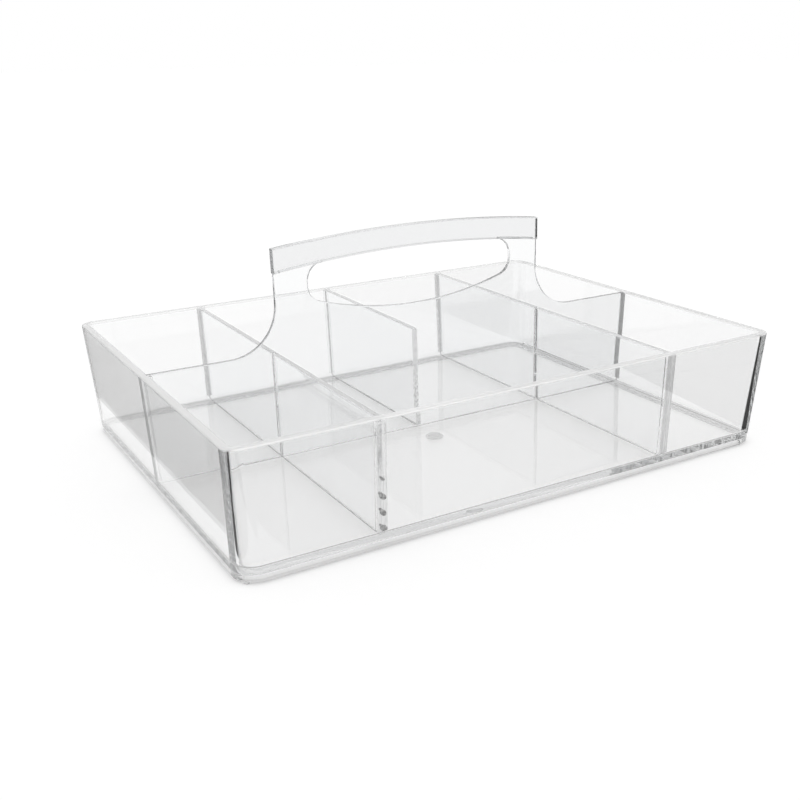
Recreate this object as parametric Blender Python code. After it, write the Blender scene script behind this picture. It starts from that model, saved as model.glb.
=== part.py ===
"""Clear acrylic organizer tray with a fixed carrying handle, in metres, +Z up.

The origin is the middle of the underside. X runs along the tray and Y from its front to its back.
The tray is one moulding. Two dividers cross it from front to back, a third one parts the rear of
the middle, and a handle panel stands along the tray with a grip bar on top of it. The plates stand
in grooves of the floor and in channels of the walls, cross in halved joints, and keep a small gap
for cement all round.
"""

import math

import bmesh
import bpy

# Tray moulding: its overall size, then its walls
tray_length = 0.24765
tray_width = 0.18796
tray_height = 0.0508
wall_thickness = 0.0035
wall_lean = 0.0020
rim_corner_radius = 0.0060
foot_corner_radius = 0.0095
rim_rounding = 0.0007

# Floor of the tray, the ring that it stands on, and the mark of the moulding gate below it
floor_thickness = 0.0026
floor_fillet = 0.0016
foot_height = 0.0022
foot_width = 0.0042
foot_rounding = 0.0016
gate_mark_diameter = 0.0083
gate_mark_height = 0.0004
gate_mark_offset = 0.0140

# Plates, which are the dividers and the handle panel, and the joints that hold them
plate_thickness = 0.0020
plate_drop = 0.0003
plate_rounding = 0.0004
column_spacing = 0.1342
rail_step = 0.00075
channel_depth = 0.0008
groove_depth = 0.0008
panel_channel_depth = 0.0005
joint_gap = 0.0003

# Handle: the panel's two horns, the finger opening between them, and the grip bar over the top
handle_length = 0.1310
horn_width = 0.0150
shoulder_radius = 0.0205
crest_height = 0.0119
opening_floor_radius = 0.1520
opening_corner_radius = 0.0075
opening_height = 0.0252
grip_depth = 0.0095
grip_thickness = 0.0040
grip_top_crown = 0.0038
grip_underside_crown = 0.0044
grip_rounding = 0.0006
tongue_height = 0.0045
tongue_shoulder = 0.0025

# How far a cutter reaches past the face that it cuts, and how close points are welded
cut_overrun = 0.0020
weld_distance = 0.000001

# How finely curves are divided
corner_steps = 10
fillet_steps = 4
rounding_steps = 2
shoulder_steps = 10
opening_steps = 12
crown_steps = 12
gate_mark_sides = 32

# Angles between faces: below the first a join is a flat seam, above the second it shades sharp
seam_degrees = 10
sharp_degrees = 40

# Heights and half lengths that follow from the sizes above
floor_height = foot_height + floor_thickness
plate_bottom = floor_height - groove_depth + joint_gap
plate_top = tray_height - plate_drop
lap_height = (floor_height + plate_top) / 2
opening_floor = plate_top + crest_height
grip_underside = opening_floor + opening_height
grip_top = grip_underside + grip_depth
handle_half = handle_length / 2
opening_half = handle_half - horn_width
slot_half = plate_thickness / 2 + joint_gap
rail_half = plate_thickness / 2 + rail_step

# Clear acrylic, very slightly cool, with the polish of each piece
acrylic_colour = (0.93, 0.95, 0.96, 1.0)
acrylic_refraction = 1.49
moulded_roughness = 0.03
cut_roughness = 0.05


def clear_scene():
    """Remove the objects that the file opened with."""
    for old in list(bpy.data.objects):
        bpy.data.objects.remove(old, do_unlink=True)


def clear_acrylic(name, roughness):
    """Material of one clear piece."""
    material = bpy.data.materials.new(name)
    material.use_nodes = True
    shader = material.node_tree.nodes["Principled BSDF"]
    shader.inputs["Base Color"].default_value = acrylic_colour
    shader.inputs["Metallic"].default_value = 0.0
    shader.inputs["Roughness"].default_value = roughness
    shader.inputs["IOR"].default_value = acrylic_refraction
    shader.inputs["Transmission Weight"].default_value = 1.0
    return material


def add_object(name, bm):
    """Turn a bmesh into a mesh object with its faces pointing out."""
    bmesh.ops.recalc_face_normals(bm, faces=bm.faces)
    mesh = bpy.data.meshes.new(name)
    bm.to_mesh(mesh)
    bm.free()
    made = bpy.data.objects.new(name, mesh)
    bpy.context.collection.objects.link(made)
    return made


def finish(piece, material):
    """Give a piece its material and smooth shading between its sharp edges."""
    piece.data.materials.append(material)
    piece.data.shade_smooth()
    piece.data.set_sharp_from_angle(angle=math.radians(sharp_degrees))


def hide_helper(helper):
    """Keep a cutter, or a shape that is joined on, out of the model itself."""
    helper.hide_render = True
    helper.display_type = "WIRE"


def combine(piece, helper, operation):
    """Cut a helper shape out of a piece, or join it on."""
    hide_helper(helper)
    change = piece.modifiers.new(helper.name, "BOOLEAN")
    change.operation = operation
    change.solver = "EXACT"
    change.object = helper


def loft(name, rings):
    """Closed solid through rings of points, with the first and the last ring filled."""
    bm = bmesh.new()
    loops = [[bm.verts.new(point) for point in ring] for ring in rings]
    for lower, upper in zip(loops, loops[1:]):
        for i in range(len(lower)):
            bm.faces.new((lower[i - 1], lower[i], upper[i], upper[i - 1]))
    bm.faces.new(loops[0])
    bm.faces.new(loops[-1])
    return add_object(name, bm)


def arc(along, height, radius, start, end, steps):
    """Points of an arc from one angle to another, in degrees, both ends included."""
    angles = [math.radians(start + (end - start) * i / steps) for i in range(steps + 1)]
    return [(along + radius * math.cos(a), height + radius * math.sin(a)) for a in angles]


def plate(name, outline, thickness, rounding, sides=(1, -1)):
    """Upright plate in the XZ plane with rounded edges, from its outline or the right half of it."""
    bm = bmesh.new()
    for side in sides:
        bm.faces.new([bm.verts.new((side * along, -thickness / 2, height))
                      for along, height in outline])
    bmesh.ops.remove_doubles(bm, verts=bm.verts, dist=weld_distance)
    bmesh.ops.recalc_face_normals(bm, faces=bm.faces)
    grown = bmesh.ops.extrude_face_region(bm, geom=bm.faces[:])["geom"]
    back = [item for item in grown if isinstance(item, bmesh.types.BMVert)]
    bmesh.ops.translate(bm, verts=back, vec=(0, thickness, 0))
    bmesh.ops.recalc_face_normals(bm, faces=bm.faces)
    if rounding > 0:
        edges = [edge for edge in bm.edges if on_face_edge(edge)]
        bmesh.ops.bevel(bm, geom=edges, offset=rounding, segments=rounding_steps, profile=0.5,
                        affect="EDGES")
    return add_object(name, bm)


def on_face_edge(edge):
    """Whether an edge runs round the front or the back face of a plate."""
    same_face = edge.verts[0].co.y * edge.verts[1].co.y > 0
    return same_face and edge.calc_face_angle() > math.radians(seam_degrees)


def block(name, near, far, half_width, bottom, top):
    """Upright block between two lengths that may change with the height."""
    rings = []
    for height in (bottom, top):
        low, high = near(height), far(height)
        corners = ((low, -half_width), (high, -half_width), (high, half_width), (low, half_width))
        rings.append([(along, across, height) for along, across in corners])
    return loft(name, rings)


def lean(height):
    """How far the outer wall stands in, at a height, from its widest line under the rim."""
    return wall_lean * (1 - height / (tray_height - rim_rounding))


def inner_half_length(height):
    """From the middle of the tray to the inner face of its left and right walls."""
    return tray_length / 2 - lean(height) - wall_thickness


def inner_half_width(height):
    """From the middle of the tray to the inner face of its front and back walls."""
    return tray_width / 2 - lean(height) - wall_thickness


def tray_ring(height, inset):
    """Rounded rectangle at a height, inset from the outer wall."""
    half_x = tray_length / 2 - lean(height) - inset
    half_y = tray_width / 2 - lean(height) - inset
    growth = (rim_corner_radius - foot_corner_radius) * height / tray_height
    radius = foot_corner_radius + growth - inset
    corners = ((1, 1, 0), (-1, 1, 90), (-1, -1, 180), (1, -1, 270))
    ring = []
    for side_x, side_y, start in corners:
        middle_x = side_x * (half_x - radius)
        middle_y = side_y * (half_y - radius)
        ring += arc(middle_x, middle_y, radius, start, start + 90, corner_steps)
    return [(x, y, height) for x, y in ring]


def quarter(steps):
    """Sine and cosine of evenly spaced angles through a quarter turn."""
    turns = [math.radians(90 * i / steps) for i in range(steps + 1)]
    return [(math.sin(turn), math.cos(turn)) for turn in turns]


def tray_rings():
    """Rings of the moulding: up the foot and the outer wall, over the rim and down inside."""
    rings = [tray_ring(foot_height, foot_width), tray_ring(0, foot_width)]
    for sine, cosine in quarter(fillet_steps):
        rings.append(tray_ring(foot_rounding * (1 - cosine), foot_rounding * (1 - sine)))
    for sine, cosine in quarter(fillet_steps):
        height = tray_height - rim_rounding * (1 - sine)
        rings.append(tray_ring(height, rim_rounding * (1 - cosine)))
    for sine, cosine in quarter(fillet_steps):
        height = tray_height - rim_rounding * (1 - cosine)
        rings.append(tray_ring(height, wall_thickness - rim_rounding * (1 - sine)))
    for sine, cosine in quarter(fillet_steps):
        height = floor_height + floor_fillet * (1 - sine)
        rings.append(tray_ring(height, wall_thickness + floor_fillet * (1 - cosine)))
    return rings


def plate_space(name, wall, start=None):
    """Space that a plate and its end rails take up in the tray, with the cement gap."""
    rail_space = rail_half + joint_gap
    rings = []
    for height in (floor_height - groove_depth, tray_height + cut_overrun):
        face = wall(height) - joint_gap
        deep = wall(height) + channel_depth
        far_end = [(face, -slot_half), (face, -rail_space), (deep, -rail_space),
                   (deep, rail_space), (face, rail_space), (face, slot_half)]
        if start is None:
            near_end = [(-along, -across) for along, across in far_end]
        else:
            near_end = [(start, slot_half), (start, -slot_half)]
        rings.append([(along, across, height) for along, across in far_end + near_end])
    return loft(name, rings)


def tray_shell():
    """Moulded tray, with a groove in the floor and channels in the walls for every plate."""
    shell = loft("tray_shell", tray_rings())
    combine(shell, gate_mark(), "UNION")
    for side, name in ((-1, "left"), (1, "right")):
        space = plate_space(name + "_divider_space", inner_half_width)
        space.location.x = side * column_spacing / 2
        space.rotation_euler.z = math.radians(90)
        combine(shell, space, "DIFFERENCE")
    rear_space = plate_space("rear_divider_space", inner_half_width, start=0)
    rear_space.rotation_euler.z = math.radians(90)
    combine(shell, rear_space, "DIFFERENCE")
    combine(shell, plate_space("handle_panel_space", inner_half_length), "DIFFERENCE")
    finish(shell, clear_acrylic("tray_acrylic", moulded_roughness))
    return shell


def gate_mark():
    """Low round pad that the moulding gate left on the underside, in front of the middle."""
    bm = bmesh.new()
    bmesh.ops.create_cone(bm, cap_ends=True, segments=gate_mark_sides,
                          radius1=gate_mark_diameter / 2, radius2=gate_mark_diameter / 2,
                          depth=2 * gate_mark_height)
    mark = add_object("gate_mark", bm)
    mark.location = (0, -gate_mark_offset, foot_height)
    return mark


def rail_middle(wall, height):
    """Middle of an end rail, where the plate that carries the rail stops."""
    return wall(height) + (channel_depth - joint_gap) / 2


def add_rails(piece, wall, sides):
    """Join the upright rails on that fill the wall channels, at the given ends of a plate."""
    for side in sides:
        near = lambda height: side * wall(height)
        far = lambda height: side * (wall(height) + channel_depth - joint_gap)
        name = piece.name + ("_first_rail" if side < 0 else "_last_rail")
        rail = block(name, near, far, rail_half, plate_bottom + plate_rounding,
                     plate_top - plate_rounding)
        rail.location = piece.location
        rail.rotation_euler = piece.rotation_euler
        combine(piece, rail, "UNION")


def full_divider(name, side):
    """Divider from front to back, halved from above where the handle panel crosses it."""
    notch_floor = lap_height - joint_gap / 2
    right_half = [(0, plate_bottom), (rail_middle(inner_half_width, plate_bottom), plate_bottom),
                  (rail_middle(inner_half_width, plate_top), plate_top),
                  (slot_half, plate_top), (slot_half, notch_floor), (0, notch_floor)]
    divider = plate(name, right_half, plate_thickness, plate_rounding)
    divider.location.x = side * column_spacing / 2
    divider.rotation_euler.z = math.radians(90)
    add_rails(divider, inner_half_width, (-1, 1))
    finish(divider, clear_acrylic(name + "_acrylic", cut_roughness))
    return divider


def rear_divider():
    """Short divider from the back of the handle panel to the back wall."""
    front = plate_thickness / 2 - panel_channel_depth + joint_gap
    outline = [(front, plate_bottom), (rail_middle(inner_half_width, plate_bottom), plate_bottom),
               (rail_middle(inner_half_width, plate_top), plate_top), (front, plate_top)]
    divider = plate("rear_divider", outline, plate_thickness, plate_rounding, sides=(1,))
    divider.rotation_euler.z = math.radians(90)
    add_rails(divider, inner_half_width, (1,))
    finish(divider, clear_acrylic("rear_divider_acrylic", cut_roughness))
    return divider


def crown_radius(crown):
    """Radius of an arc over the whole handle that rises by a crown in the middle."""
    return (handle_half ** 2 + crown ** 2) / (2 * crown)


def crown_arc(middle_height, radius, reach):
    """Right half of a crowned edge, from a length along it to its middle."""
    start = math.degrees(math.acos(reach / radius))
    return arc(0, middle_height - radius, radius, start, 90, crown_steps)


def tongue_outline():
    """Right half of the tongue that fills the grip bar's groove, with the horn's outer shoulder."""
    outer = handle_half - tongue_shoulder
    radius = crown_radius(grip_underside_crown)
    end_height = crown_arc(grip_underside, radius, handle_half)[0][1]
    step_height = crown_arc(grip_underside, radius, outer)[0][1]
    step = [(handle_half, end_height - joint_gap), (outer, step_height - joint_gap)]
    return step + crown_arc(grip_underside + tongue_height, radius + tongue_height, outer)


def corner_middle(arc_middle, arc_radius):
    """Middle of the small arc that rounds the corner between the opening's side and a long arc."""
    along = opening_half - opening_corner_radius
    drop = math.sqrt((arc_radius - opening_corner_radius) ** 2 - along ** 2)
    return along, arc_middle + math.copysign(drop, opening_floor - arc_middle)


def opening_outline():
    """Right half of the finger opening, from the middle of its top to the middle of its floor."""
    top_radius = crown_radius(grip_underside_crown)
    top_middle = grip_underside - top_radius
    floor_middle = opening_floor + opening_floor_radius
    upper = corner_middle(top_middle, top_radius)
    lower = corner_middle(floor_middle, opening_floor_radius)
    rise = math.degrees(math.atan2(upper[1] - top_middle, upper[0]))
    fall = math.degrees(math.atan2(lower[1] - floor_middle, lower[0]))
    top = arc(0, top_middle, top_radius, 90, rise, crown_steps)
    upper_corner = arc(*upper, opening_corner_radius, rise, 0, shoulder_steps)
    lower_corner = arc(*lower, opening_corner_radius, 0, fall, shoulder_steps)
    floor = arc(0, floor_middle, opening_floor_radius, fall, -90, opening_steps)
    return top + upper_corner[1:] + lower_corner + floor[1:]


def handle_panel():
    """Plate along the middle of the tray, halved from below over both full dividers."""
    column = column_spacing / 2
    notch_ceiling = lap_height + joint_gap / 2
    notch = [(column - slot_half, plate_bottom), (column - slot_half, notch_ceiling),
             (column + slot_half, notch_ceiling), (column + slot_half, plate_bottom)]
    end = [(rail_middle(inner_half_length, plate_bottom), plate_bottom),
           (rail_middle(inner_half_length, plate_top), plate_top)]
    shoulder = arc(handle_half + shoulder_radius, plate_top + shoulder_radius, shoulder_radius,
                   270, 180, shoulder_steps)
    right_half = [(0, plate_bottom)] + notch + end + shoulder + tongue_outline()
    panel = plate("handle_panel", right_half + opening_outline(), plate_thickness, plate_rounding)
    add_rails(panel, inner_half_length, (-1, 1))
    combine(panel, rear_divider_channel(), "DIFFERENCE")
    finish(panel, clear_acrylic("handle_panel_acrylic", cut_roughness))
    return panel


def rear_divider_channel():
    """Shallow channel in the back of the panel, open below, for the rear divider's front end."""
    channel_floor = plate_thickness / 2 - panel_channel_depth
    channel = block("rear_divider_channel", lambda height: channel_floor,
                    lambda height: plate_thickness / 2 + cut_overrun, slot_half,
                    plate_bottom - cut_overrun, plate_top + joint_gap)
    channel.rotation_euler.z = math.radians(90)
    return channel


def grip_bar():
    """Thicker crowned bar over the handle, with a stopped groove below for the panel's tongue."""
    underside_radius = crown_radius(grip_underside_crown)
    underside = crown_arc(grip_underside, underside_radius, handle_half)
    top = crown_arc(grip_top, crown_radius(grip_top_crown), handle_half)
    outline = list(reversed(underside)) + top
    bar = plate("grip_bar", outline, grip_thickness, grip_rounding)
    combine(bar, tongue_groove(underside_radius), "DIFFERENCE")
    finish(bar, clear_acrylic("grip_bar_acrylic", moulded_roughness))
    return bar


def tongue_groove(underside_radius):
    """Space for the tongue in the grip bar's underside, which stops short of both ends."""
    reach = handle_half - tongue_shoulder + joint_gap
    depth = tongue_height + joint_gap
    ceiling = crown_arc(grip_underside + depth, underside_radius + depth, reach)
    mouth = crown_arc(grip_underside - cut_overrun, underside_radius - cut_overrun, reach)
    outline = list(reversed(mouth)) + ceiling
    return plate("tongue_groove", outline, 2 * slot_half, 0)


def build():
    """Make the whole organizer under one empty at its origin."""
    clear_scene()
    origin = bpy.data.objects.new("organizer_tray", None)
    bpy.context.collection.objects.link(origin)
    pieces = [tray_shell(), full_divider("left_divider", -1), full_divider("right_divider", 1),
              rear_divider(), handle_panel(), grip_bar()]
    for piece in pieces:
        piece.parent = origin


build()
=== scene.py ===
# %% [markdown]
# # A clear acrylic organizer tray
# The tray is one moulding, and the plates in it are cut from clear sheet and cemented in place. All of
# it is see-through, so what we look at is never the plastic itself. We see the studio, bent by rounded
# edges and mirrored by flat walls. So this file spends its care on two things: exact, smooth edges, and
# a studio that has both white and dark in it.

# %% Load the frame
import math
import random

import bmesh
import bpy
from mathutils import Matrix, Vector


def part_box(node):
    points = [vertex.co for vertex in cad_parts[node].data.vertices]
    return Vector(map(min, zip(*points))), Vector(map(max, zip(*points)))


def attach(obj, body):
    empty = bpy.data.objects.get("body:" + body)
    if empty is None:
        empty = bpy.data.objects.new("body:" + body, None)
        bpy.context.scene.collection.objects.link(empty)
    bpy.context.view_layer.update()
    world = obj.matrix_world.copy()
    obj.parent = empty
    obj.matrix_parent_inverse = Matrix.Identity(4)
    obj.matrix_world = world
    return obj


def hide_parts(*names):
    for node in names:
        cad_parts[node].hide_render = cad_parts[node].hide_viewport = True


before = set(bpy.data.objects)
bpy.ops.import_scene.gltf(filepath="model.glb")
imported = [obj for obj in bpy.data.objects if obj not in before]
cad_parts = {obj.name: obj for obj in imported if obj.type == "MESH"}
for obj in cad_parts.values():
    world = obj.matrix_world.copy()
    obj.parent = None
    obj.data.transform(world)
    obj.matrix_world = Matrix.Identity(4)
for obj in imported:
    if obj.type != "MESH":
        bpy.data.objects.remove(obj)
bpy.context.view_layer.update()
print("frame:", sorted(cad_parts))

# %% [markdown]
# ## Sizes
# Every length is in metres. The overall sizes are read from the frame, so that the fine pieces sit
# exactly where the plain ones do. The rest are the sizes of the walls, plates and joints.

# %% Sizes of the tray
tray_low, tray_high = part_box("tray_shell")
tray_length = tray_high.x - tray_low.x
tray_width = tray_high.y - tray_low.y
tray_height = tray_high.z - tray_low.z
wall_thickness = 0.0035
wall_lean = 0.0020
rim_corner_radius = 0.0060
foot_corner_radius = 0.0095
rim_rounding = 0.0007
floor_thickness = 0.0026
floor_fillet = 0.0016
foot_height = 0.0022
foot_width = 0.0042
foot_rounding = 0.0016
gate_mark_diameter = 0.0083
gate_mark_height = 0.0004
gate_mark_offset = 0.0140
floor_height = foot_height + floor_thickness
print(f"tray: {tray_length:.4f} x {tray_width:.4f} x {tray_height:.4f} m")

# %% Sizes of the plates, the handle and the joints
plate_thickness = 0.0020
plate_drop = 0.0003
plate_rounding = 0.0004
column_spacing = 0.1342
rail_half = 0.00200
rail_proud = 0.0014
channel_depth = 0.0008
handle_low, handle_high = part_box("grip_bar")
handle_half = (handle_high.x - handle_low.x) / 2
horn_width = 0.0150
shoulder_radius = 0.0205
crest_height = 0.0119
opening_floor_radius = 0.1520
opening_corner_radius = 0.0075
opening_height = 0.0252
grip_depth = 0.0095
grip_thickness = handle_high.y - handle_low.y
grip_top_crown = 0.0038
grip_underside_crown = 0.0044
grip_rounding = 0.0006
plate_top = tray_height - plate_drop
lap_height = (floor_height + plate_top) / 2
opening_floor = plate_top + crest_height
grip_underside = opening_floor + opening_height
grip_top = grip_underside + grip_depth
opening_half = handle_half - horn_width
print(f"handle: {2 * handle_half:.4f} m long, its top at {grip_top:.4f} m")

# %% [markdown]
# A solvent joint has no air in it: the two plastics flow together. Where two pieces meet, one reaches a
# hair's breadth into the other, and light then passes from one to the other without a mirror between
# them. Beside a joint, where the solvent didn't run, a thin film of air stays and draws a dark line.

# %% Joints
bond = 0.00004
air_film = 0.00004
plate_bottom = floor_height + air_film
print(f"bonded faces overlap by {bond * 1e6:.0f} micrometres")

# %% [markdown]
# ## Helpers for shapes
# A piece is made in a bmesh, which holds vertices, edges and faces before they become an object. Smooth
# shading blends the normals of neighbouring faces. On clear plastic that would bend the view through a
# flat wall, so Weighted Normal lets the large flat faces keep their own normal.

# %% Turn a bmesh into a piece
sharp_angle = math.radians(30)


def make_piece(name, bm):
    """Close a bmesh into an object with outward faces."""
    bmesh.ops.recalc_face_normals(bm, faces=bm.faces)
    mesh = bpy.data.meshes.new(name)
    bm.to_mesh(mesh)
    bm.free()
    piece = bpy.data.objects.new(name, mesh)
    bpy.context.collection.objects.link(piece)
    return piece


def settle(piece):
    """Write the result of a piece's modifiers into its mesh."""
    graph = bpy.context.evaluated_depsgraph_get()
    settled = bpy.data.meshes.new_from_object(piece.evaluated_get(graph))
    piece.modifiers.clear()
    piece.data = settled


def coat(piece, material):
    """Give a piece one material all over."""
    piece.data.materials.clear()
    piece.data.materials.append(material)


def smooth(piece):
    """Shade a piece smooth between its sharp edges."""
    piece.data.shade_smooth()
    piece.data.set_sharp_from_angle(angle=sharp_angle)


def smooth_round_flats(piece):
    """Shade a piece smooth, with its flat faces left truly flat."""
    smooth(piece)
    weighted = piece.modifiers.new("flat_faces_stay_flat", "WEIGHTED_NORMAL")
    weighted.keep_sharp = True
    settle(piece)


# %% [markdown]
# Grooves and rails are worked by Boolean modifiers, the way a maker mills a slot or cements on a strip.
# The helper takes the tool away again once its work is in the mesh.

# %% Blocks, cutting and joining
def block(low, high):
    """Bmesh of a block between two corners."""
    bm = bmesh.new()
    size = Vector(high) - Vector(low)
    place = Matrix.Translation((Vector(low) + Vector(high)) / 2)
    bmesh.ops.create_cube(bm, size=1, matrix=place @ Matrix.Diagonal((*size, 1)))
    return bm


def leaning_block(name, low, high, shift=0.0):
    """Block between two corners, whose upper half is shifted along X as a leaning wall's is."""
    bm = block(low, high)
    upper = [v for v in bm.verts if v.co.z > (low[2] + high[2]) / 2]
    bmesh.ops.translate(bm, verts=upper, vec=(shift, 0, 0))
    return make_piece(name, bm)


def work(piece, tool, operation):
    """Cut a tool's shape out of a piece, or join it on, and remove the tool."""
    step = piece.modifiers.new(tool.name, "BOOLEAN")
    step.operation = operation
    step.solver = "EXACT"
    step.object = tool
    settle(piece)
    bpy.data.objects.remove(tool)


def turned(piece, degrees, shift=(0, 0, 0)):
    """Turn a piece's mesh about Z and then shift it, so that its object stays at the origin."""
    place = Matrix.Translation(shift) @ Matrix.Rotation(math.radians(degrees), 4, "Z")
    piece.data.transform(place)
    return piece


# %% [markdown]
# A piece that replaces a plain solid is finished in one way: it gets its plastic and its shading, rides
# on the only body, and hides the plain solid that it stands for.

# %% Finish a piece
def dress(piece, material, node):
    """Finish a piece and hide the plain solid that it stands for."""
    coat(piece, material)
    smooth_round_flats(piece)
    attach(piece, "root")
    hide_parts(node)
    print(f"{piece.name}: {len(piece.data.polygons)} faces")


# %% [markdown]
# ## The camera
# The photograph looks down on the tray from its left front. These values came from lining the tray's
# known edges up with the picture. The lens is shifted, because the picture was cropped off its middle.

# %% Camera
camera_place = Vector((-0.2214, -0.3869, 0.1731))
camera_yaw = math.radians(31.43)
camera_pitch = math.radians(21.04)
camera_roll = math.radians(0.77)
picture_size = 800
focal_pixels = 1033
middle_pixel_x = 445
middle_pixel_y = 430
sensor_width = 36
nearest_seen = 0.01


def aim(yaw, pitch, roll):
    """Rotation of a camera that looks along a yaw from +Y, down by a pitch, tilted by a roll."""
    level = Matrix.Rotation(-yaw, 3, "Z") @ Matrix.Rotation(math.radians(90) - pitch, 3, "X")
    return level @ Matrix.Rotation(-roll, 3, "Z")


camera_data = bpy.data.cameras.new("camera")
camera_data.sensor_width = sensor_width
camera_data.lens = focal_pixels / picture_size * sensor_width
camera_data.shift_x = (picture_size / 2 - middle_pixel_x) / picture_size
camera_data.shift_y = (middle_pixel_y - picture_size / 2) / picture_size
camera_data.clip_start = nearest_seen
camera = bpy.data.objects.new("camera", camera_data)
bpy.context.collection.objects.link(camera)
camera.matrix_world = Matrix.Translation(camera_place) @ aim(
    camera_yaw, camera_pitch, camera_roll).to_4x4()
bpy.context.scene.camera = camera
print(f"camera: {camera_data.lens:.1f} mm lens")

# %% [markdown]
# ## Helpers for materials
# A material is a small network of nodes, and each socket of a node takes a number or a link. These
# helpers add one node each, feed it, and hand its result on, so that a material reads as a few lines.
# Object coordinates are a point's place on the piece itself, so a pattern never slides over it.

# %% Materials and numbers
def start_material(name):
    """New material, with its node tree and the shader that it starts with."""
    material = bpy.data.materials.new(name)
    material.use_nodes = True
    return material, material.node_tree, principled(material.node_tree)


def principled(tree):
    """The shader node of a material's tree."""
    return tree.nodes["Principled BSDF"]


def even(grey):
    """Colour of an even grey."""
    return grey, grey, grey, 1


def feed(tree, socket, value):
    """Set a socket to a number, or link it to another socket."""
    if isinstance(value, bpy.types.NodeSocket):
        tree.links.new(value, socket)
    else:
        socket.default_value = value


def calculate(tree, operation, *values):
    """Result of a Math node on numbers or sockets."""
    node = tree.nodes.new("ShaderNodeMath")
    node.operation = operation
    for socket, value in zip(node.inputs, values):
        feed(tree, socket, value)
    return node.outputs["Value"]


def remap(tree, value, span, low, high):
    """Carry a value from a span to the range from low to high, which may be numbers or sockets."""
    node = tree.nodes.new("ShaderNodeMapRange")
    node.inputs["From Min"].default_value, node.inputs["From Max"].default_value = span
    feed(tree, node.inputs["Value"], value)
    feed(tree, node.inputs["To Min"], low)
    feed(tree, node.inputs["To Max"], high)
    return node.outputs["Result"]


def choose(tree, switch, off, on):
    """One value where a switch is 0, and another one where it is 1."""
    return remap(tree, switch, (0, 1), off, on)


# %% Places, noise and light
def place_of(tree):
    """Where a point of the piece lies, from the object's origin."""
    return tree.nodes.new("ShaderNodeTexCoord").outputs["Object"]


def axis_of(tree, vector, axis):
    """One axis of a vector, as a number."""
    split = tree.nodes.new("ShaderNodeSeparateXYZ")
    tree.links.new(vector, split.inputs["Vector"])
    return split.outputs[axis]


def noise(tree, place, scale, detail=2):
    """Cloudy noise, between 0 and 1."""
    node = tree.nodes.new("ShaderNodeTexNoise")
    node.inputs["Scale"].default_value = scale
    node.inputs["Detail"].default_value = detail
    tree.links.new(place, node.inputs["Vector"])
    return node.outputs["Fac"]


def light_path(tree):
    """What kind of ray it is that asks for the material, and what it has passed so far."""
    return tree.nodes.new("ShaderNodeLightPath").outputs


def mix_surface(tree, switch, off, on):
    """Show one shader where a switch is 0, and another one where it is 1."""
    mix = tree.nodes.new("ShaderNodeMixShader")
    tree.links.new(switch, mix.inputs["Fac"])
    tree.links.new(off.outputs["BSDF"], mix.inputs[1])
    tree.links.new(on.outputs["BSDF"], mix.inputs[2])
    tree.links.new(mix.outputs["Shader"], tree.nodes["Material Output"].inputs["Surface"])


# %% [markdown]
# ## Clear acrylic
# Acrylic bends light with an index of 1.49. Its shader is a Principled BSDF with full transmission. A
# moulding is never quite flat: the melt leaves very slow waves, which a faint bump over a coarse noise
# gives. The polish varies a little too, so a second, finer noise drives the roughness. Thick plastic
# swallows a little light, which a volume gives.
#
# Lamps can't look through refraction, so for shadow rays and for light that bounces off the floor the
# plastic turns into a plain tinted pane. That keeps its shadow as light as the real one.

# %% Clear acrylic material
acrylic_index = 1.49
wave_detail = 1
haze_detail = 4
haze_fineness = 3
haze_span = (0.35, 0.75)
pane_grey = 0.97
depth_colour = (0.0, 0.03, 0.04, 1)
depth_density = 1.0


def clear_acrylic(name, colour, wave_size, wave_height, polish):
    """Clear acrylic with slow waves of a size and a height, and a range of roughness."""
    material, tree, shader = start_material(name)
    shader.inputs["Base Color"].default_value = colour
    shader.inputs["IOR"].default_value = acrylic_index
    shader.inputs["Transmission Weight"].default_value = 1
    place = place_of(tree)
    bump = tree.nodes.new("ShaderNodeBump")
    bump.inputs["Distance"].default_value = wave_height
    bump.inputs["Strength"].default_value = 1
    tree.links.new(noise(tree, place, 1 / wave_size, wave_detail), bump.inputs["Height"])
    tree.links.new(bump.outputs["Normal"], shader.inputs["Normal"])
    haze = noise(tree, place, haze_fineness / wave_size, haze_detail)
    tree.links.new(remap(tree, haze, haze_span, *polish), shader.inputs["Roughness"])
    add_pane(tree)
    add_depth(tree)
    print("material:", name)
    return material


def add_pane(tree):
    """Let lamps and floor light through, as a tinted pane."""
    path = light_path(tree)
    either = calculate(tree, "MAXIMUM", path["Is Shadow Ray"], path["Is Diffuse Ray"])
    pane = tree.nodes.new("ShaderNodeBsdfTransparent")
    pane.inputs["Color"].default_value = even(pane_grey)
    mix_surface(tree, either, principled(tree), pane)


def add_depth(tree):
    """Let light fade a little along its way through the plastic."""
    depth = tree.nodes.new("ShaderNodeVolumeAbsorption")
    depth.inputs["Color"].default_value = depth_colour
    depth.inputs["Density"].default_value = depth_density
    tree.links.new(depth.outputs["Volume"], tree.nodes["Material Output"].inputs["Volume"])


# %% [markdown]
# A few places aren't quite clear. The rim and the plates' top edges are honed, so they are a little
# rough and milky. Light that enters the foot ring gets lost between it and the table, so the ring's
# colour is painted grey as shade, and its shadow is darker. The scar of the moulding gate is as rough
# as a cut.

# %% Honed edges, foot ring and gate mark
# Shares of the foot's height over which its painted shade fades out.
foot_shade_fade = (0.85, 0.97)


def roughen(tree, amount):
    """Make a material at least as rough as an amount says at each place."""
    roughness = principled(tree).inputs["Roughness"]
    rougher = calculate(tree, "MAXIMUM", roughness.links[0].from_socket, amount)
    tree.links.new(rougher, roughness)


def hone_rim(tree, height, roughness, clarity):
    """Make everything above a height as rough and as milky as a honed edge."""
    here = axis_of(tree, place_of(tree), "Z")
    span = (height - rim_rounding, height)
    roughen(tree, remap(tree, here, span, 0, roughness))
    tree.links.new(remap(tree, here, span, 1, clarity), principled(tree).inputs["Transmission Weight"])


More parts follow.
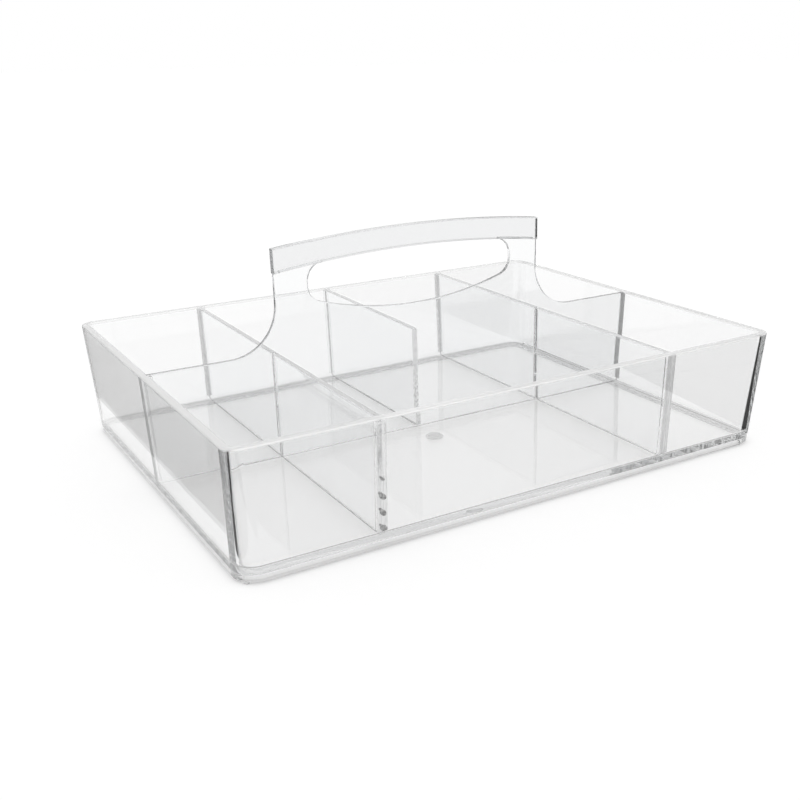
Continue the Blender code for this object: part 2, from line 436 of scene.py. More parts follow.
def paint_foot_shade(tree, height, grey, clear_grey):
    """Paint shade into the plastic's colour below a height, fading out between two shares of that height.
    """
    here = axis_of(tree, place_of(tree), "Z")
    span = (foot_shade_fade[0] * height, foot_shade_fade[1] * height)
    tree.links.new(remap(tree, here, span, grey, clear_grey), principled(tree).inputs["Base Color"])


def darken_foot(tree, height, grey):
    """Dim the pane that lamps see below a height."""
    pane = next(node for node in tree.nodes if node.type == "BSDF_TRANSPARENT")
    here = axis_of(tree, place_of(tree), "Z")
    tree.links.new(remap(tree, here, (height / 2, height), grey, pane_grey), pane.inputs["Color"])


def frost_gate(tree, roughness):
    """Roughen the round scar that the moulding gate left."""
    away = tree.nodes.new("ShaderNodeVectorMath")
    away.operation = "DISTANCE"
    away.inputs[1].default_value = (0, -gate_mark_offset, foot_height)
    tree.links.new(place_of(tree), away.inputs[0])
    edge = gate_mark_diameter / 2
    roughen(tree, remap(tree, away.outputs["Value"], (edge - gate_mark_height, edge), roughness, 0))


# %% The plastics
tray_grey = 0.968
sheet_colour = (0.960, 0.964, 0.967, 1)
grip_colour = (0.862, 0.866, 0.870, 1)
tray_plastic = clear_acrylic("moulded_tray", even(tray_grey), wave_size=0.030,
                             wave_height=0.00002, polish=(0.0, 0.03))
divider_plastic = clear_acrylic("divider_sheet", sheet_colour, wave_size=0.060,
                                wave_height=0.00001, polish=(0.0, 0.02))
handle_plastic = clear_acrylic("handle_sheet", sheet_colour, wave_size=0.060,
                               wave_height=0.00001, polish=(0.0, 0.02))
grip_plastic = clear_acrylic("grip_stock", grip_colour, wave_size=0.025,
                             wave_height=0.00002, polish=(0.0, 0.04))
hone_rim(tray_plastic.node_tree, tray_height - rim_rounding / 2, roughness=0.12, clarity=0.45)
hone_rim(divider_plastic.node_tree, plate_top - plate_rounding, roughness=0.05, clarity=0.60)
# The foot ring's grey colour is painted shade, for light lost between the ring and the table.
paint_foot_shade(tray_plastic.node_tree, foot_height, grey=0.74, clear_grey=tray_grey)
darken_foot(tray_plastic.node_tree, foot_height, grey=0.42)
frost_gate(tray_plastic.node_tree, roughness=0.4)

# %% [markdown]
# ## The tray moulding
# The tray starts as a box. Its upright edges are bevelled into rounded corners. The walls lean outwards
# and the corners get tighter towards the rim, which is what lets the moulding leave its mould. A helper
# moves one ring of vertices at a time to its own half lengths and corner radius.

# %% Rings of the tray
def lean(height):
    """How far the outer wall stands in, at a height, from its widest line under the rim."""
    return wall_lean * (1 - height / (tray_height - rim_rounding))


def ring_shape(height, inset):
    """Half length, half width and corner radius of a ring at a height, inset from the outside."""
    radius = foot_corner_radius + (rim_corner_radius - foot_corner_radius) * height / tray_height
    half_x = tray_length / 2 - lean(height) - inset
    half_y = tray_width / 2 - lean(height) - inset
    return half_x, half_y, radius - inset


def fit_ring(bm, ring, old, new):
    """Scale and move each rounded corner of a ring from an old shape to a new one."""
    old_x, old_y, old_radius = old
    new_x, new_y, new_radius = new
    growth = new_radius / old_radius
    for side_x in (-1, 1):
        for side_y in (-1, 1):
            corner = [v for v in ring if v.co.x * side_x > 0 and v.co.y * side_y > 0]
            old_middle = Vector((side_x * (old_x - old_radius), side_y * (old_y - old_radius), 0))
            new_middle = Vector((side_x * (new_x - new_radius), side_y * (new_y - new_radius), 0))
            bmesh.ops.scale(bm, verts=corner, vec=(growth, growth, 1),
                            space=Matrix.Translation(-old_middle))
            bmesh.ops.translate(bm, verts=corner, vec=new_middle - old_middle)


# %% Block with rounded corners and leaning walls
tolerance = 0.000001
corner_segments = 40


def at_height(bm, height):
    """Vertices of a bmesh that lie at a height."""
    return [v for v in bm.verts if abs(v.co.z - height) < tolerance]


def round_edges(bm, edges, radius, segments):
    """Bevel edges into quarter circles."""
    bmesh.ops.bevel(bm, geom=edges, offset=radius, segments=segments, profile=0.5,
                    affect="EDGES", material=-1)


def tray_block():
    """Solid block in the outer shape of the tray."""
    half_x, half_y, radius = ring_shape(0, 0)
    bm = block((-half_x, -half_y, 0), (half_x, half_y, tray_height))
    uprights = [e for e in bm.edges if abs(e.verts[0].co.z - e.verts[1].co.z) > tray_height / 2]
    round_edges(bm, uprights, radius, corner_segments)
    fit_ring(bm, at_height(bm, tray_height), ring_shape(0, 0), ring_shape(tray_height, 0))
    return bm


# %% [markdown]
# The inside is an inset of the top face, pushed down to the floor. The recess below the floor is made
# the same way, and leaves the ring that the tray stands on.

# %% Hollow out the block
fillet_segments = 8
rim_segments = 5
crease_angle = math.radians(60)


def face_at(bm, height):
    """The widest level face of a bmesh at a height."""
    level = [f for f in bm.faces if all(abs(v.co.z - height) < tolerance for v in f.verts)]
    return max(level, key=lambda face: face.calc_area())


def sink(bm, start, end, inset):
    """Inset the level face at one height and push it to another, with that height's corners."""
    face = face_at(bm, start)
    bmesh.ops.inset_region(bm, faces=[face], thickness=inset, use_even_offset=True)
    pushed = bmesh.ops.extrude_discrete_faces(bm, faces=[face])["faces"][0]
    bmesh.ops.translate(bm, verts=pushed.verts, vec=(0, 0, end - start))
    fit_ring(bm, list(pushed.verts), ring_shape(start, inset), ring_shape(end, inset))
    return pushed


def outside(vertex, shape):
    """Whether a vertex lies outside a ring's straight sides."""
    return abs(vertex.co.x) > shape[0] or abs(vertex.co.y) > shape[1]


def round_creases(bm, ring, radius, segments):
    """Round over the sharp edges between the vertices of a ring."""
    creases = [e for e in bm.edges if e.verts[0] in ring and e.verts[1] in ring
               and e.calc_face_angle() > crease_angle]
    round_edges(bm, creases, radius, segments)


def tray_moulding():
    """The tray without its channels: foot ring, floor, walls and rounded rim."""
    bm = tray_block()
    floor = sink(bm, tray_height, floor_height, wall_thickness)
    round_edges(bm, list(floor.edges), floor_fillet, fillet_segments)
    sink(bm, 0, foot_height, foot_width)
    rim = at_height(bm, tray_height)
    foot = [v for v in at_height(bm, 0) if outside(v, ring_shape(0, foot_width / 2))]
    round_creases(bm, rim, rim_rounding, rim_segments)
    round_creases(bm, foot, foot_rounding, fillet_segments)
    print("tray moulding:", len(bm.faces), "faces")
    return make_piece("clear_tray", bm)


# %% [markdown]
# Each plate ends in an upright rail, and each rail sits in a shallow channel of the wall. The channels
# lean with the wall. They are cut with a block that is turned to each wall in turn. Some ends are bonded
# on all sides and lie flush with the wall. The others have a film of air round them and stand proud.

# %% Channels in the walls
column = column_spacing / 2
overrun = 0.0020


def inner_half_length(height):
    """From the middle of the tray to the inner face of its left and right walls."""
    return tray_length / 2 - lean(height) - wall_thickness


def inner_half_width(height):
    """From the middle of the tray to the inner face of its front and back walls."""
    return tray_width / 2 - lean(height) - wall_thickness


def wall_block(name, wall, half_width, start, reach, bottom, top):
    """Upright block that follows a leaning wall on +X, from a start to a reach beyond its face."""
    low = (wall(bottom) + start, -half_width, bottom)
    high = (wall(bottom) + reach, half_width, top)
    return leaning_block(name, low, high, wall(top) - wall(bottom))


# Each end has its wall, the turn and shift that take it there, and whether it is bonded all round.
wall_ends = {
    "left_panel_end": (inner_half_length, 180, (0, 0, 0), False),
    "right_panel_end": (inner_half_length, 0, (0, 0, 0), True),
    "front_left_end": (inner_half_width, -90, (-column, 0, 0), False),
    "front_right_end": (inner_half_width, -90, (column, 0, 0), False),
    "back_left_end": (inner_half_width, 90, (-column, 0, 0), True),
    "back_right_end": (inner_half_width, 90, (column, 0, 0), True),
    "back_middle_end": (inner_half_width, 90, (0, 0, 0), True),
}


def cut_channels(tray):
    """Cut the channel of every plate's end into the tray's walls."""
    for name, (wall, degrees, shift, bonded) in wall_ends.items():
        half = rail_half - bond if bonded else rail_half + air_film
        channel = wall_block(name, wall, half, -overrun, channel_depth,
                             floor_height + floor_fillet, tray_height + overrun)
        work(tray, turned(channel, degrees, shift), "DIFFERENCE")


# %% [markdown]
# The moulding gate, where the melt ran in, left a low round pad under the floor. It is joined on.

# %% Gate mark and the whole tray
gate_mark_segments = 48


def gate_mark():
    """Low round pad with a sloping edge, under the floor."""
    bm = bmesh.new()
    radius = gate_mark_diameter / 2
    place = Matrix.Translation((0, -gate_mark_offset, foot_height))
    bmesh.ops.create_cone(bm, cap_ends=True, segments=gate_mark_segments, radius1=radius,
                          radius2=radius - gate_mark_height, depth=2 * gate_mark_height,
                          matrix=place @ Matrix.Rotation(math.pi, 4, "X"))
    return make_piece("gate_mark", bm)


clear_tray = tray_moulding()
cut_channels(clear_tray)
work(clear_tray, gate_mark(), "UNION")
dress(clear_tray, tray_plastic, "tray_shell")

# %% [markdown]
# ## Plates
# Every plate is cut from sheet, so it starts as a flat outline. Straight runs are edges between a few
# points, and a round stretch is one vertex spun about the middle of its arc. The outline is mirrored,
# filled, and extruded to the sheet's thickness. Its edges were honed smooth, which rounds them: a few
# small insets, each a little further out, follow that quarter circle.

# %% Draw an outline
class Outline:
    """Chain of edges in the XZ plane, drawn from point to point and round arcs."""

    def __init__(self, along, height):
        self.bm = bmesh.new()
        self.tip = self.bm.verts.new((along, 0, height))

    def line(self, along, height):
        """Straight on to a point."""
        new = self.bm.verts.new((along, 0, height))
        self.bm.edges.new((self.tip, new))
        self.tip = new
        return self

    def arc(self, along, height, degrees, steps):
        """Round a middle point. A positive angle turns from +X towards +Z."""
        spun = bmesh.ops.spin(self.bm, geom=[self.tip], cent=(along, 0, height), axis=(0, -1, 0),
                              angle=math.radians(degrees), steps=steps)
        self.tip = next(v for v in spun["geom_last"] if isinstance(v, bmesh.types.BMVert))
        return self


# %% Cut a plate from its outline
def mirror_half(bm):
    """Add the left half of an outline that was drawn from X = 0 to X = 0."""
    bmesh.ops.mirror(bm, geom=bm.verts[:] + bm.edges[:], axis="X", merge_dist=tolerance)
    bmesh.ops.remove_doubles(bm, verts=bm.verts, dist=tolerance)


def cut_plate(name, bm, thickness, rounding, edge_steps=3):
    """Fill an outline and give it thickness and rounded edges."""
    bmesh.ops.remove_doubles(bm, verts=bm.verts, dist=tolerance)
    bmesh.ops.triangle_fill(bm, edges=bm.edges, use_beauty=True)
    bmesh.ops.recalc_face_normals(bm, faces=bm.faces)
    depth = thickness - 2 * rounding
    bmesh.ops.translate(bm, verts=bm.verts, vec=(0, -depth / 2, 0))
    grown = bmesh.ops.extrude_face_region(bm, geom=bm.faces[:])["geom"]
    back = [item for item in grown if isinstance(item, bmesh.types.BMFace)]
    moved = [item for item in grown if isinstance(item, bmesh.types.BMVert)]
    bmesh.ops.translate(bm, verts=moved, vec=(0, depth, 0))
    front = [f for f in bm.faces if all(v.co.y < 0 for v in f.verts)]
    bmesh.ops.recalc_face_normals(bm, faces=bm.faces)
    for cap in (front, back):
        round_cap(bm, cap, rounding, edge_steps)
    return make_piece(name, bm)


def round_cap(bm, cap, radius, steps):
    """Round a plate's edge by insets of one side that step along a quarter circle."""
    for i in range(steps):
        low, high = (math.radians(90 * (i + k) / steps) for k in (0, 1))
        bmesh.ops.inset_region(bm, faces=cap, use_even_offset=True, use_boundary=True,
                               thickness=radius * (math.cos(low) - math.cos(high)),
                               depth=radius * (math.sin(high) - math.sin(low)))


# %% [markdown]
# ## The dividers
# A full divider runs from the front wall to the back wall. It is halved from above in its middle, where
# the handle panel comes down over it. It is drawn along X, like the panel, and then turned. The rails
# on its ends are joined on after that.

# %% Ends of a plate
def plate_reach(wall, height):
    """Where a plate ends in its rail, at a height."""
    return wall(height) + channel_depth / 2


def draw_end(outline, wall):
    """Draw along the floor to a wall, and up its lean."""
    outline.line(plate_reach(wall, floor_height), plate_bottom)
    outline.line(plate_reach(wall, plate_top), plate_top)


def end_rail(piece, name):
    """Join the rail that fills a wall channel to the end of a plate."""
    wall, degrees, shift, bonded = wall_ends[name]
    start = -air_film if bonded else -rail_proud
    rail = wall_block(name + "_rail", wall, rail_half, start, channel_depth + bond,
                      floor_height + floor_fillet + air_film, plate_top - plate_rounding)
    work(piece, turned(rail, degrees, shift), "UNION")


# %% Dividers
half_plate = plate_thickness / 2
notch_half = half_plate + air_film


def full_divider(name, node, along, front_end, back_end):
    """Divider from the front wall to the back wall, halved from above."""
    outline = Outline(0, plate_bottom)
    draw_end(outline, inner_half_width)
    outline.line(notch_half, plate_top).line(notch_half, lap_height).line(0, lap_height)
    mirror_half(outline.bm)
    divider = cut_plate(name, outline.bm, plate_thickness, plate_rounding)
    turned(divider, 90, (along, 0, 0))
    end_rail(divider, front_end)
    end_rail(divider, back_end)
    dress(divider, divider_plastic, node)


def short_divider():
    """Divider from the back of the handle panel to the back wall."""
    start = half_plate - bond
    outline = Outline(start, plate_bottom)
    draw_end(outline, inner_half_width)
    outline.line(start, plate_top).line(start, plate_bottom)
    divider = cut_plate("clear_rear_divider", outline.bm, plate_thickness, plate_rounding)
    turned(divider, 90)
    end_rail(divider, "back_middle_end")
    dress(divider, divider_plastic, "rear_divider")


full_divider("clear_left_divider", "left_divider", -column, "front_left_end", "back_left_end")
full_divider("clear_right_divider", "right_divider", column, "front_right_end", "back_right_end")
short_divider()

# %% [markdown]
# ## The handle panel
# This plate runs from the left wall to the right wall and rises into the handle as two horns. Its right
# half is drawn once: along the floor, over the notch for the divider, up the end, round the concave
# shoulder and up the horn, then down the inside of the finger opening and along its floor. The grip bar
# closes the opening above. The horns' tips reach a little way into the bar. The long arcs have far away
# middles, which follow from how much each one rises.

# %% Arcs of the handle
def crown_radius(crown):
    """Radius of an arc over the whole handle that rises by a crown in the middle."""
    return (handle_half ** 2 + crown ** 2) / (2 * crown)


def crown_angle(radius, reach):
    """Degrees from the top of such an arc to a length along it."""
    return math.degrees(math.asin(reach / radius))


def corner_middle(arc_middle, arc_radius):
    """Middle of the small arc between the opening's side and one of its long arcs."""
    along = opening_half - opening_corner_radius
    drop = math.sqrt((arc_radius - opening_corner_radius) ** 2 - along ** 2)
    return along, arc_middle + math.copysign(drop, opening_floor - arc_middle)


underside_radius = crown_radius(grip_underside_crown)
underside_middle = grip_underside - underside_radius
print(f"the grip's underside is an arc of {underside_radius:.3f} m")

# %% Outline of the handle panel
horn_seat = 0.0009
horn_step = 0.0025
long_arc_steps = 24
corner_steps = 16
horn_tip_steps = 8
horn_step_steps = 2


def under_grip(radius, degrees):
    """Point on an arc along the grip's underside, at an angle from its top."""
    angle = math.radians(degrees)
    return radius * math.sin(angle), underside_middle + radius * math.cos(angle)


def draw_panel(outline, opening_angle):
    """Right half of the panel's outside, up to the tip of the horn over the opening."""
    notch_ceiling = lap_height + bond
    outline.line(column - notch_half, plate_bottom).line(column - notch_half, notch_ceiling)
    outline.line(column + notch_half, notch_ceiling)
    outline.line(column + notch_half, plate_bottom)
    draw_end(outline, inner_half_length)
    outline.line(handle_half + shoulder_radius, plate_top)
    outline.arc(handle_half + shoulder_radius, plate_top + shoulder_radius, -90, long_arc_steps)
    touching = underside_radius + bond
    end_angle = crown_angle(touching, handle_half)
    step_angle = crown_angle(touching, handle_half - horn_step)
    outline.line(*under_grip(touching, end_angle))
    outline.arc(0, underside_middle, end_angle - step_angle, horn_step_steps)
    outline.line(*under_grip(underside_radius + horn_seat, step_angle))
    outline.arc(0, underside_middle, step_angle - opening_angle, horn_tip_steps)
    outline.line(*under_grip(underside_radius, opening_angle))


def draw_opening(outline, upper, rise):
    """Right half of the finger opening, from its highest corner down to the middle of its floor."""
    floor_middle = opening_floor + opening_floor_radius
    lower = corner_middle(floor_middle, opening_floor_radius)
    fall = math.degrees(math.atan2(lower[1] - floor_middle, lower[0]))
    outline.arc(*upper, -rise, corner_steps)
    outline.line(opening_half, lower[1])
    outline.arc(*lower, fall, corner_steps)
    outline.arc(0, floor_middle, -90 - fall, long_arc_steps)


# %% Handle panel
def handle_panel():
    """The panel with its handle, its opening and its end rails."""
    outline = Outline(0, plate_bottom)
    upper = corner_middle(underside_middle, underside_radius)
    rise = math.degrees(math.atan2(upper[1] - underside_middle, upper[0]))
    draw_panel(outline, 90 - rise)
    draw_opening(outline, upper, rise)
    mirror_half(outline.bm)
    panel = cut_plate("clear_handle_panel", outline.bm, plate_thickness, plate_rounding)
    end_rail(panel, "left_panel_end")
    end_rail(panel, "right_panel_end")
    dress(panel, handle_plastic, "handle_panel")


handle_panel()

# %% [markdown]
# ## The grip bar
# A thicker bar crowns the handle, so that the hand has something round to hold. It is cut in the same
# way, between two arcs, with a larger rounding on its edges.

# %% Grip bar
grip_edge_steps = 4


def grip_bar():
    """Crowned bar over the top of the handle."""
    top_radius = crown_radius(grip_top_crown)
    top_middle = grip_top - top_radius
    end_top = top_middle + math.sqrt(top_radius ** 2 - handle_half ** 2)
    outline = Outline(0, grip_underside)
    outline.arc(0, underside_middle, -crown_angle(underside_radius, handle_half), long_arc_steps)
    outline.line(handle_half, end_top)
    outline.arc(0, top_middle, crown_angle(top_radius, handle_half), long_arc_steps)
    mirror_half(outline.bm)
    bar = cut_plate("clear_grip_bar", outline.bm, grip_thickness, grip_rounding, grip_edge_steps)
    dress(bar, grip_plastic, "grip_bar")


grip_bar()

# %% [markdown]
# ## Cement
# The cement in a joint dries a little cloudy, in streaks. It is modelled as a thin film inside the joint,
# whose opacity follows a noise that is drawn out upwards. Thick cement looks white, and a thin layer with
# dust in it looks grey. The lower part of a film can be denser or thinner than the part above it. Each
# joint's film is a piece of its own.

# %% Cement material
streak_width = 0.0008
tall_streak = 0.0080
short_streak = 0.0015
cloud_edge = (0.024, 0.034)
cloud_span = (0.35, 0.65)
cement_roughness = 0.5


def cement(name, grey, streak, thin, thick):
    """Film of one grey, whose opacity lies between thin and thick. Each is a pair, below and above."""
    material, tree, shader = start_material(name)
    shader.inputs["Base Color"].default_value = even(grey)
    shader.inputs["Roughness"].default_value = cement_roughness
    place = place_of(tree)
    drawn_out = tree.nodes.new("ShaderNodeMapping")
    drawn_out.inputs["Scale"].default_value = (1 / streak_width, 1 / streak_width, 1 / streak)
    tree.links.new(place, drawn_out.inputs["Vector"])
    streaks = noise(tree, drawn_out.outputs["Vector"], 1)
    height = axis_of(tree, place, "Z")
    least, most = (remap(tree, height, cloud_edge, *ends) for ends in (thin, thick))
    tree.links.new(remap(tree, streaks, cloud_span, least, most), shader.inputs["Alpha"])
    print("material:", name)
    return material


white_cement = cement("white_cement", 0.97, tall_streak, thin=(0.70, 0.0), thick=(1.00, 0.30))
pale_cement = cement("pale_cement", 0.80, tall_streak, thin=(0.35, 0.40), thick=(0.95, 0.80))
grey_cement = cement("grey_cement", 0.42, tall_streak, thin=(0.50, 0.50), thick=(0.90, 0.90))
thin_cement = cement("thin_cement", 0.75, tall_streak, thin=(0.30, 0.30), thick=(0.60, 0.60))
blotchy_cement = cement("blotchy_cement", 0.97, short_streak, thin=(0.35, 0.80), thick=(1.00, 0.95))
floor_cement = cement("floor_cement", 0.30, short_streak, thin=(0.40, 0.40), thick=(0.75, 0.75))

# %% Films in the walls' channels
film_depth = 0.00055
film_thickness = 0.00005
film_of_end = {
    "left_panel_end": (grey_cement, rail_half),
    "right_panel_end": (grey_cement, rail_half),
    "front_left_end": (white_cement, rail_half),
    "front_right_end": (pale_cement, rail_half),
    "back_left_end": (thin_cement, rail_half),
    "back_right_end": (thin_cement, rail_half),
    "back_middle_end": (thin_cement, half_plate),
}


def joint_piece(piece, material):
    """Give a small piece inside a joint its material and its place in the part."""
    coat(piece, material)
    smooth(piece)
    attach(piece, "root")
    print("in a joint:", piece.name)


def channel_film(end_name):
    """Film of cement over the width of a plate's end, deep in its wall channel."""
    material, half = film_of_end[end_name]
    wall, degrees, shift, _ = wall_ends[end_name]
    film = wall_block("cement_" + end_name, wall, half - air_film,
                      film_depth, film_depth + film_thickness,
                      floor_height + floor_fillet + air_film, plate_top - plate_rounding - air_film)
    joint_piece(turned(film, degrees, shift), material)


for end_name in wall_ends:
    channel_film(end_name)

# %% Films under the plates and before the rear divider
end_x = inner_half_length(floor_height) - floor_fillet
end_y = inner_half_width(floor_height) - floor_fillet
film_low = floor_height + air_film / 4
film_high = floor_height + air_film * 3 / 4
rear_half = 0.00130
floor_films = {
    "cement_left_floor": ((-column - half_plate, -end_y), (-column + half_plate, end_y)),
    "cement_right_floor": ((column - half_plate, -end_y), (column + half_plate, end_y)),
    "cement_left_panel_floor": ((-end_x, -half_plate), (-column - half_plate, half_plate)),
    "cement_middle_panel_floor": ((-column + half_plate, -half_plate),
                                  (column - half_plate, half_plate)),
    "cement_right_panel_floor": ((column + half_plate, -half_plate), (end_x, half_plate)),
    "cement_rear_floor": ((-half_plate, half_plate), (half_plate, end_y)),
}
for name, (low, high) in floor_films.items():
    joint_piece(leaning_block(name, (*low, film_low), (*high, film_high)), floor_cement)
rear_film = leaning_block(
    "cement_rear_divider", (-rear_half, half_plate + film_thickness, plate_bottom),
    (rear_half, half_plate + 2 * film_thickness, plate_top - plate_rounding))
joint_piece(rear_film, blotchy_cement)

# %% [markdown]
# Air that was trapped in the front left joint shows as dark slanting drops near the floor. Their
# darkness is painted shade: a dark colour in place of the light that a drop's surface turns away. A
# drop is a flat ball, and each pair has a larger one with a smaller one above it. A seeded generator
# varies them.

# %% Trapped air
air_roughness = 0.35
drop_detail = 3
drop_flatness = 0.00020
drop_slant = (30, 50)
upper_rise = 0.4
lower_aside, upper_aside = (0.05, 0.15), (0.15, 0.25)
lower_length, lower_height = (0.80, 1.00), (0.50, 0.70)
upper_length, upper_height = (0.50, 0.70), (0.25, 0.40)
heights_and_sizes = ((0.0076, 0.0036), (0.0138, 0.0034), (0.0202, 0.0035), (0.0270, 0.0022))


def trapped_air(name, darkest, lightest):
    """Air in a joint: a real gloss over a colour painted dark, as shade for the light a drop turns away.
    """
    material, tree, shader = start_material(name)
    shader.inputs["Roughness"].default_value = air_roughness
    # Patches of darker and lighter painted shade over the drops.
    shade_patches = noise(tree, place_of(tree), 1 / streak_width)
    tree.links.new(remap(tree, shade_patches, cloud_span, darkest, lightest), shader.inputs["Base Color"])
    return material


def add_drop(bm, middle, length, height, slant):
    """Flat drop in a joint that faces the front, sloping down to the right."""
    turn = Matrix.Rotation(math.radians(slant), 4, "Y")
    size = Matrix.Diagonal((length / 2, drop_flatness, height / 2, 1))
    bmesh.ops.create_icosphere(bm, subdivisions=drop_detail, radius=1,
                               matrix=Matrix.Translation(middle) @ turn @ size)


def drops(name, along, seed):
    """Pairs of drops over each other in a front joint, between the film and the wall."""
    chance = random.Random(seed)
    bm = bmesh.new()
    for height, size in heights_and_sizes:
        depth = -inner_half_width(height) - film_depth - film_thickness - drop_flatness / 2
        slant = chance.uniform(*drop_slant)
        lower = Vector((along + size * chance.uniform(*lower_aside), depth, height))
        upper = Vector((along - size * chance.uniform(*upper_aside), depth, height + upper_rise * size))
        add_drop(bm, lower, size * chance.uniform(*lower_length),
                 size * chance.uniform(*lower_height), slant)
        add_drop(bm, upper, size * chance.uniform(*upper_length),
                 size * chance.uniform(*upper_height), slant)
    joint_piece(make_piece(name, bm), air_painted_dark)


# The drops' dark colour is painted shade.
air_painted_dark = trapped_air("air_painted_dark", 0.14, 0.50)
drops("air_front_left", -column, seed=3)

# %% [markdown]
# ## The studio
# The floor is a plain pale sheet. It takes real light and so keeps the tray's shadow. To the camera it
# also glows by the little that it lacks to pure white, and glass and mirrors see that white as well.

# %% Floor
floor_drop = 0.0001
floor_radius = 6.0
floor_segments = 64
floor_grey = 0.8
floor_roughness = 0.9
floor_glow = 0.22


def white_sheet():
    """Matt pale material that glows a little for the camera, and for bent and mirrored rays."""
    material, tree, shader = start_material("white_sheet")
    shader.inputs["Base Color"].default_value = even(floor_grey)
    shader.inputs["Roughness"].default_value = floor_roughness
    shader.inputs["Specular IOR Level"].default_value = 0
    shader.inputs["Emission Color"].default_value = even(1)
    path = light_path(tree)
    direct = calculate(tree, "MAXIMUM", path["Is Camera Ray"], path["Is Glossy Ray"])
    seen = calculate(tree, "MAXIMUM", direct, path["Is Transmission Ray"])
    tree.links.new(calculate(tree, "MULTIPLY", seen, floor_glow), shader.inputs["Emission Strength"])
    return material


def studio_floor():
    """Wide pale floor just under the foot ring."""
    bm = bmesh.new()
    bmesh.ops.create_circle(bm, cap_ends=True, segments=floor_segments, radius=floor_radius,
                            matrix=Matrix.Translation((0, 0, -floor_drop)))
    floor = make_piece("studio_floor", bm)
    coat(floor, white_sheet())


studio_floor()
print("floor: a white sheet", 2 * floor_radius, "m across")

# %% [markdown]
# A white room alone would make clear plastic vanish. The world stays white for the camera and as a light,
# but bent and mirrored rays see a photographer's room in it. From the table upwards that is a dim
# horizon, a white sweep with pale walls over it, and a large white softbox overhead. A dark flag stands
# on each side. A flat wall looks straight through to the white floor. A rounded edge bends its rays to
# the horizon or a flag, which draws it as a dark line.
#
# The heights are the upward part of a direction, from 0 level to 1 straight up. The flags' span is the
# sideways part in the same way.

# %% World
horizon = (0.08, 0.18)
horizon_grey = 0.46
sweep_edge = (0.33, 0.38)
wall_grey = 0.85
softbox_edge = (0.55, 0.75)
flag_turn = math.radians(31.43)
flag_axis = (math.cos(flag_turn), -math.sin(flag_turn), 0)
flag_edge = (0.45, 0.70)
flag_grey = 0.16


def room_light(tree, direction):
    """Brightness of the room in a direction."""
    upwards = axis_of(tree, direction, "Z")
    aside = tree.nodes.new("ShaderNodeVectorMath")
    aside.operation = "DOT_PRODUCT"
    aside.inputs[1].default_value = flag_axis
    tree.links.new(direction, aside.inputs[0])
    either_side = calculate(tree, "ABSOLUTE", aside.outputs["Value"])
    ahead = remap(tree, upwards, sweep_edge, 1, wall_grey)
    walls = remap(tree, either_side, flag_edge, ahead, flag_grey)
    above = remap(tree, upwards, horizon, horizon_grey, walls)
    return remap(tree, upwards, softbox_edge, above, 1)


def studio_world():
    """White for the camera and the floor, a room with flags for bent and mirrored rays."""
    world = bpy.data.worlds.new("studio_world")
    bpy.context.scene.world = world
    world.use_nodes = True
    tree = world.node_tree
    direction = tree.nodes.new("ShaderNodeTexCoord").outputs["Generated"]
    path = light_path(tree)
    bent = calculate(tree, "MAXIMUM", path["Is Glossy Ray"], path["Is Transmission Ray"])
    background = tree.nodes["Background"].inputs
    background["Color"].default_value = even(1)
    tree.links.new(choose(tree, bent, 1, room_light(tree, direction)), background["Strength"])


studio_world()
print(f"flags stand along {flag_axis[0]:.2f}, {flag_axis[1]:.2f}")

# %% [markdown]
# ## The dark surroundings
# The white sheet under a clear thing is often narrow, and the table beside it is dark. Light that passes
# straight through the walls never shows that table. Light that was mirrored on its way does: it draws
# the side wall as a grey sheet, and the corners and joints as dark lines. Light Path counts the mirrored
# turns of a ray, so these dark strips are clear glass to a ray that has none.
#
# What a mirrored ray sees depends on its way. Outside the plastic, the left wall mirrors a table that
# fades from a middle grey near the sheet to nearly black. A ray that has been inside the plastic sees it
# nearly black, which draws the lines. After more than one mirror it has been guided along in a wall, and
# gets a light grey instead, because such light comes from all over the room. The turns are counted in
# whole numbers, so half a turn lies between none and one.

# %% Dark table
left_margin = 0.008
right_margin = 0.004
strip_size = 1.0
strip_middle_y = 0.3
table_fade = (0.028, 0.045)
near_grey = 0.55
table_grey = 0.02
inside_grey = 0.03
guided_grey = 0.70
guided_turns = 1.5
half_a_turn = 0.5


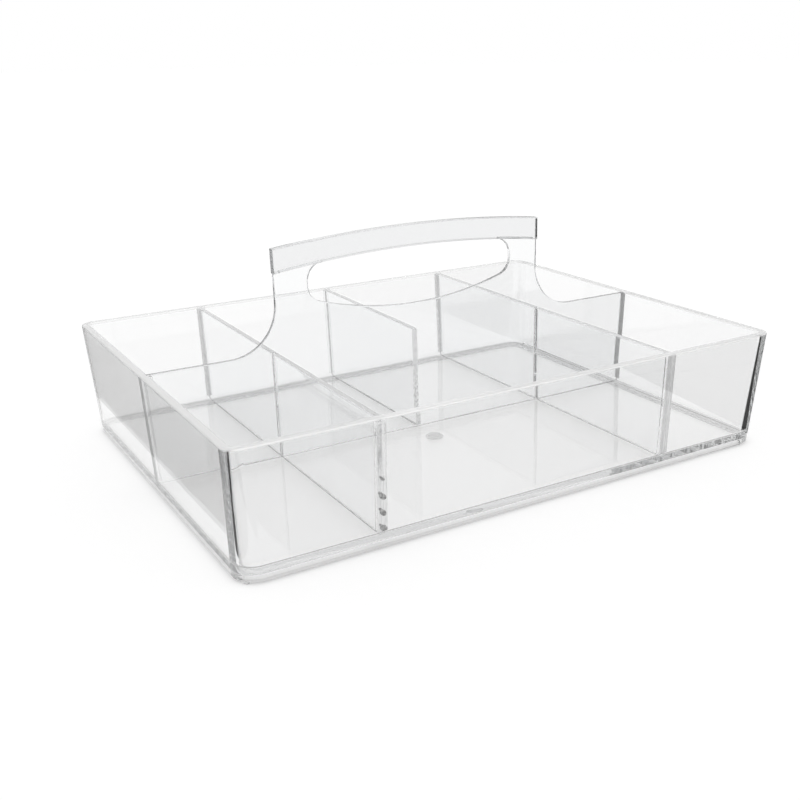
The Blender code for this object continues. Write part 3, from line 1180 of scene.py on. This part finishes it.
def mirrored_only(tree):
    """Let rays that were never mirrored pass through."""
    mirrored = calculate(tree, "GREATER_THAN", light_path(tree)["Glossy Depth"], half_a_turn)
    clear = tree.nodes.new("ShaderNodeBsdfTransparent")
    mix_surface(tree, mirrored, clear, principled(tree))


def table_top():
    """Dark table that lightens towards the left edge of the white sheet."""
    material, tree, shader = start_material("dark_table")
    shader.inputs["Roughness"].default_value = 1
    shader.inputs["Specular IOR Level"].default_value = 0
    path = light_path(tree)
    across = axis_of(tree, place_of(tree), "X")
    sheet_edge = -tray_length / 2 - left_margin
    fade = (sheet_edge - table_fade[1], sheet_edge - table_fade[0])
    guided = calculate(tree, "GREATER_THAN", path["Glossy Depth"], guided_turns)
    after_plastic = choose(tree, guided, inside_grey, guided_grey)
    on_left = calculate(tree, "LESS_THAN", across, 0)
    never_inside = calculate(tree, "LESS_THAN", path["Transmission Depth"], half_a_turn)
    fresh = calculate(tree, "MULTIPLY", on_left, never_inside)
    grey = choose(tree, fresh, after_plastic, remap(tree, across, fade, table_grey, near_grey))
    tree.links.new(grey, shader.inputs["Base Color"])
    mirrored_only(tree)
    return material


# %% Dark strips beside the tray
def dark_strip(name, middle_x):
    """Dark square of table, which only mirrored light sees."""
    bm = bmesh.new()
    bmesh.ops.create_grid(bm, x_segments=1, y_segments=1, size=strip_size / 2,
                          matrix=Matrix.Translation((middle_x, strip_middle_y, 0)))
    strip = make_piece(name, bm)
    coat(strip, dark_table)
    strip.visible_camera = False
    strip.visible_diffuse = False
    strip.visible_shadow = False


dark_table = table_top()
dark_strip("dark_strip_left", -tray_length / 2 - left_margin - strip_size / 2)
dark_strip("dark_strip_right", tray_length / 2 + right_margin + strip_size / 2)
print("dark strips stand", left_margin, "and", right_margin, "m beside the tray")

# %% [markdown]
# ## Render settings
# A ray crosses many clear walls here, so it needs far more bounces than an opaque scene does. A ray
# that runs out of bounces turns black.

# %% Bounces and colour
scene = bpy.context.scene
scene.view_settings.view_transform = "Standard"
scene.cycles.max_bounces = 160
scene.cycles.transmission_bounces = 64
scene.cycles.glossy_bounces = 128
scene.cycles.transparent_max_bounces = 48
